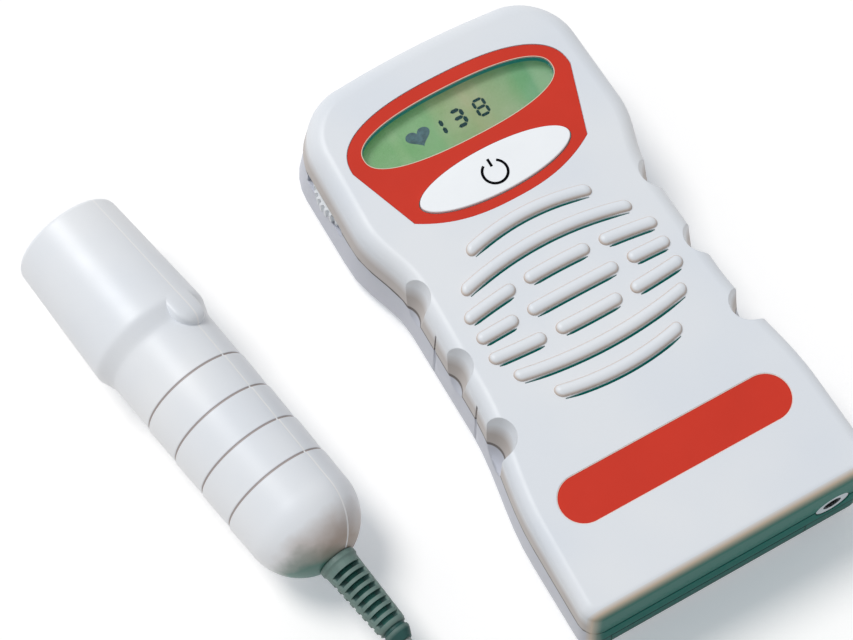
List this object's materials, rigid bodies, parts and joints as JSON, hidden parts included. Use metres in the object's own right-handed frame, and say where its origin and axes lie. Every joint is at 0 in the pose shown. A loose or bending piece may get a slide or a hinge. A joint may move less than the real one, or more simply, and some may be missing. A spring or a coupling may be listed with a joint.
{
  "type": "fetal doppler monitor",
  "caption": "Hand-held heartbeat monitor with a display, power button and louvred loudspeaker, and a cylindrical probe on a coiled cord with a jack plug lying beside it.",
  "frame": {"origin": "centre of the handset's flat back, on the surface it rests on", "axes": "+Y along the handset from its foot to its display head, +X to the right seen from the front, +Z out of the face; the probe lies on the -X side"},
  "size_m": [0.1485, 0.2217, 0.0314],
  "materials": {
    "case_plastic": "satin moulded plastic",
    "panel_film": "printed film, satin",
    "window_pane": "clear",
    "display_green": "liquid crystal pane, pale green",
    "diffuser": "milky",
    "dark_plastic": "moulded",
    "button_plastic": "smooth silicone-like plastic",
    "switch_yellow": "moulded",
    "board_green": "solder mask on glass fibre",
    "screw_steel": "zinc plated",
    "spring_steel": "nickel plated",
    "socket_chrome": "polished",
    "foam": "foam and cast rubber",
    "cone_paper": "pressed paper",
    "magnet": "ferrite in a steel pot",
    "lead_red": "insulated wire",
    "wheel_plastic": "moulded, toothed",
    "cell_wrap": "plain shrink wrap",
    "lens_resin": "cast resin",
    "crystal": "fired ceramic",
    "relief_rubber": "moulded, soft",
    "cord_jacket": "extruded jacket",
    "plug_plastic": "moulded"
  },
  "bodies": {
    "handset": {"front_shell": "case_plastic", "rear_shell": "case_plastic", "control_panel": "panel_film", "label_plate": "panel_film", "display_window": "window_pane", "display_glass": "display_green", "display_backlight": "diffuser", "display_holder": "dark_plastic", "switch_body": "dark_plastic", "main_board": "board_green", "board_chips": "dark_plastic", "board_screws": "screw_steel", "case_screws": "screw_steel", "speaker_gasket": "foam", "speaker_frame": "screw_steel", "speaker_cone": "cone_paper", "speaker_magnet": "magnet", "speaker_leads": "lead_red", "volume_pot": "dark_plastic", "probe_socket": "dark_plastic", "socket_ring": "socket_chrome", "battery_cells": "cell_wrap", "battery_springs": "spring_steel", "battery_contacts": "spring_steel", "battery_leads": "lead_red"},
    "button": {"power_button": "button_plastic", "switch_plunger": "switch_yellow"},
    "wheel": {"volume_wheel": "wheel_plastic"},
    "door": {"battery_door": "case_plastic"},
    "probe": {"probe_shell_left": "case_plastic", "probe_shell_right": "case_plastic", "probe_face": "lens_resin", "probe_crystals": "crystal", "probe_backing": "foam", "probe_board": "board_green", "probe_relief": "relief_rubber", "cord_run": "cord_jacket", "cord_coil": "cord_jacket", "cord_tail": "cord_jacket", "plug_relief": "relief_rubber", "plug_body": "plug_plastic", "plug_pin": "socket_chrome"}
  },
  "joints": [
    {"name": "power_press", "type": "slide", "parent": "handset", "child": "button", "axis": [0, 0, -1], "range_m": [0, 0.0005], "stiffness_N_per_m": 800, "springref_m": -0.001},
    {"name": "volume_turn", "type": "hinge", "parent": "handset", "child": "wheel", "pos_m": [-0.02669, 0.05, 0.0145], "axis": [0, 0, 1], "range_deg": [-135, 135]},
    {"name": "door_slide", "type": "slide", "parent": "handset", "child": "door", "axis": [0, -1, 0], "range_m": [0, 0.036]},
    {"name": "probe_lift", "type": "slide", "parent": "handset", "child": "probe", "axis": [0, 0, 1], "range_m": [0, 0.15]}
  ]
}
